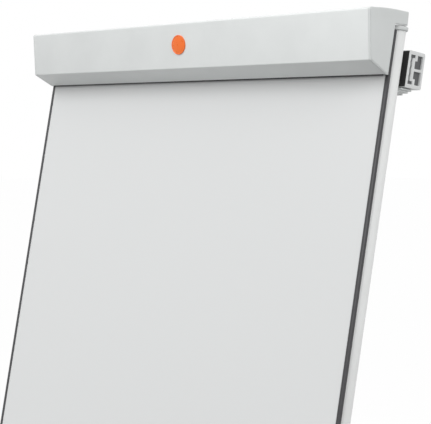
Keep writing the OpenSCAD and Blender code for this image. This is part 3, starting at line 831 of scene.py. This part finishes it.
class EASEL_OT_leg_details(bpy.types.Operator):
    """Ribs on the feet, ridges on the levers and weld beads on the rails"""

    bl_idname = "easel.leg_details"
    bl_label = "Leg details"

    # Heights of a foot's ribs above the ground and their radius about the leg, in millimetres
    foot_ribs = (20, 25, 30, 35, 40)
    foot_r = 14.2
    foot_segments = 48
    # A lever's radius about the tube, the turns of its ridges in degrees, and the heights of a
    # ridge's points above the tube's end
    lever_r = 23.7
    ridge_turns = (152, 159, 166, 173, 180, 187)
    ridge_heights = (1, 1.6, 7, 12.4, 13)
    # The rails' section where it meets the tubes: front, back and height, and the steps of the
    # bead along them
    rail_front = 6
    rail_back = 23
    rail_h = 34
    steps_back = 24
    steps_up = 40
    head_rail_z = 18
    cross_bar_z = -914
    # How far the bead lies in the tube, and the depth and turn of its ripple
    weld_sink = 0.2
    ripple = 0.22
    ripple_turn = 1.9

    def execute(self, context):
        sizes = context.scene.easel_sizes
        for side, sign in SIDES:
            leg = CLAMP_FRAME @ shifted(sign * TUBE_X, TUBE_Y, 0)
            mirror = Matrix.Diagonal((sign, 1, 1, 1))
            self.rib_foot(side, leg @ shifted(0, 0, SOLE), f"front_leg_{side}", sizes.foot_rib)
            self.ridge_lever(side, leg @ shifted(0, 0, TUBE_END) @ mirror, sizes.lever_ridge)
        ground = REAR_FRAME @ shifted(0, 0, REAR_SOLE)
        self.rib_foot("rear", ground, "rear_leg_lower", sizes.foot_rib)
        self.ridge_lever("rear", REAR_FRAME @ shifted(0, 0, REAR_TUBE_END), sizes.lever_ridge)
        self.weld("head_rail_welds", self.head_rail_z, sizes.weld)
        self.weld("cross_bar_welds", self.cross_bar_z, sizes.weld)
        return {"FINISHED"}

    def rib_foot(self, side, place, body, radius):
        bm = bmesh.new()
        turns = [2 * math.pi * k / self.foot_segments for k in range(self.foot_segments)]
        for up in self.foot_ribs:
            ring = [(self.foot_r * math.cos(t), self.foot_r * math.sin(t), up) for t in turns]
            bead(bm, [place @ (Vector(point) * MM) for point in ring], radius, closed=True)
        piece_from(bm, f"foot_ribs_{side}", body, "rubber")

    def ridge_lever(self, side, place, radius):
        bm = bmesh.new()
        for degrees in self.ridge_turns:
            turn = math.radians(degrees)
            x, y = self.lever_r * math.cos(turn), self.lever_r * math.sin(turn)
            line = [place @ (Vector((x, y, z)) * MM) for z in self.ridge_heights]
            bead(bm, line, radius)
        piece_from(bm, f"lever_ridges_{side}", f"lever_{side}", "black_plastic")

    def weld(self, name, low, radius):
        """Beads along the top, back and underside of a rail where it meets the tubes."""
        bm = bmesh.new()
        depth = self.rail_back - self.rail_front
        depths = [
            self.rail_front + depth * k / self.steps_back for k in range(self.steps_back + 1)
        ]
        path = [(y, low) for y in depths]
        path += [
            (self.rail_back, low + self.rail_h * k / self.steps_up)
            for k in range(1, self.steps_up)
        ]
        path += [(y, low + self.rail_h) for y in reversed(depths)]
        for _, sign in SIDES:
            points = []
            for k, (y, z) in enumerate(path):
                skin = TUBE_X - math.sqrt(TUBE_R**2 - (y - TUBE_Y) ** 2)
                ripple = self.ripple * math.sin(self.ripple_turn * k)
                points.append(in_clamp(sign * (skin - self.weld_sink + ripple), y, z))
            bead(bm, points, radius)
        piece_from(bm, name, "root", "frame_paint")


class EASEL_OT_tray_details(bpy.types.Operator):
    """Lengthwise ridges on the tray's floor"""

    bl_idname = "easel.tray_details"
    bl_label = "Tray details"

    # In the clamp's frame in millimetres
    floor_z = -964.5
    ridges_y = (-48, -38, -28, -18)
    points_x = (-338, -335, 0, 335, 338)

    def execute(self, context):
        bm = bmesh.new()
        for y in self.ridges_y:
            line = [in_clamp(x, y, self.floor_z) for x in self.points_x]
            bead(bm, line, context.scene.easel_sizes.tray_ridge)
        piece_from(bm, "tray_ridges", "root", "tray_grey")
        return {"FINISHED"}


class EASEL_OT_studio(bpy.types.Operator):
    """Set the floor, the lamps, the surroundings and the camera"""

    bl_idname = "easel.studio"
    bl_label = "Studio"

    # Each lamp's place from the clamp's lower edge and its side in metres, and its power in watts
    lamps = (
        ("key_lamp", (-1.0, -3.0, 2.6), 2.2, 91),
        ("side_lamp", (3.2, -0.4, 1.4), 1.6, 38),
    )
    # The sky's strength between two heights of the view's direction
    sky = {"From Min": -0.3, "From Max": 0.8, "To Min": 0.23, "To Max": 0.98}
    floor_grey = (0.42, 0.42, 0.42)
    # Share of white in what the camera sees of the floor, and of the sky
    floor_seen = 0.985
    sky_seen = 1.0

    def execute(self, context):
        studio = context.scene.easel_studio
        self.lay_floor(studio.floor_size)
        self.surround(context.scene)
        for lamp in self.lamps:
            self.hang(*lamp)
        self.aim_camera(context.scene, studio)
        context.scene.view_settings.view_transform = "Standard"
        return {"FINISHED"}

    def lay_floor(self, size):
        bm = bmesh.new()
        bmesh.ops.create_grid(bm, x_segments=1, y_segments=1, size=size / 2)
        mesh = bpy.data.meshes.new("studio_floor")
        bm.to_mesh(mesh)
        bm.free()
        floor = linked("studio_floor", mesh)
        finish = Finish("studio_floor", self.floor_grey, 0.6)
        tree = finish.tree
        seen = white_when_seen(tree, finish.shader.outputs[0], self.floor_seen)
        tree.links.new(seen, tree.nodes["Material Output"].inputs["Surface"])
        mesh.materials.append(finish.material)

    def surround(self, scene):
        world = bpy.data.worlds.new("studio_world")
        world.use_nodes = True
        scene.world = world
        tree = world.node_tree
        background = tree.nodes["Background"]
        background.inputs["Color"].default_value = (1, 1, 1, 1)
        place = tree.nodes.new("ShaderNodeTexCoord")
        axes = tree.nodes.new("ShaderNodeSeparateXYZ")
        strength = tree.nodes.new("ShaderNodeMapRange")
        tree.links.new(place.outputs["Generated"], axes.inputs[0])
        tree.links.new(axes.outputs["Z"], strength.inputs["Value"])
        for name, value in self.sky.items():
            strength.inputs[name].default_value = value
        tree.links.new(strength.outputs[0], background.inputs["Strength"])
        seen = white_when_seen(tree, background.outputs[0], self.sky_seen)
        tree.links.new(seen, tree.nodes["World Output"].inputs["Surface"])

    def hang(self, name, offset, size, power):
        """A soft square lamp that faces the clamp."""
        data = bpy.data.lights.new(name, "AREA")
        data.size = size
        data.energy = power
        lamp = linked(name, data)
        lamp.location = CLAMP + Vector(offset)
        lamp.rotation_euler = (-Vector(offset)).to_track_quat("-Z", "Y").to_euler()

    def aim_camera(self, scene, studio):
        data = bpy.data.cameras.new("studio_camera")
        data.lens = studio.lens
        data.shift_y = studio.lens_rise
        data.clip_end = 100
        camera = linked("studio_camera", data)
        camera.location = CLAMP + Vector(studio.camera_offset)
        camera.rotation_euler = (math.pi / 2 - studio.down, 0, studio.turn)
        scene.camera = camera


STEPS = (
    EASEL_OT_finishes,
    EASEL_OT_cover_details,
    EASEL_OT_arm_details,
    EASEL_OT_fasteners,
    EASEL_OT_leg_details,
    EASEL_OT_tray_details,
    EASEL_OT_studio,
)


class EASEL_PT_panel(bpy.types.Panel):
    """Lists the easel's colours, sizes, studio and making steps"""

    bl_idname = "EASEL_PT_panel"
    bl_label = "Easel"
    bl_space_type = "VIEW_3D"
    bl_region_type = "UI"
    bl_category = "Easel"

    def draw(self, context):
        layout = self.layout
        scene = context.scene
        for group in (scene.easel_colours, scene.easel_sizes, scene.easel_studio):
            for name in group.__annotations__:
                layout.prop(group, name)
        for step in STEPS:
            layout.operator(step.bl_idname)


CLASSES = (EaselColours, EaselSizes, StudioSettings, *STEPS, EASEL_PT_panel)


def register():
    for cls in CLASSES:
        bpy.utils.register_class(cls)
    bpy.types.Scene.easel_colours = PointerProperty(type=EaselColours)
    bpy.types.Scene.easel_sizes = PointerProperty(type=EaselSizes)
    bpy.types.Scene.easel_studio = PointerProperty(type=StudioSettings)


def unregister():
    del bpy.types.Scene.easel_studio
    del bpy.types.Scene.easel_sizes
    del bpy.types.Scene.easel_colours
    for cls in reversed(CLASSES):
        bpy.utils.unregister_class(cls)


def main():
    register()
    bpy.ops.easel.finishes()
    bpy.ops.easel.cover_details()
    bpy.ops.easel.arm_details()
    bpy.ops.easel.fasteners()
    bpy.ops.easel.leg_details()
    bpy.ops.easel.tray_details()
    bpy.ops.easel.studio()


if __name__ == "__main__":
    main()
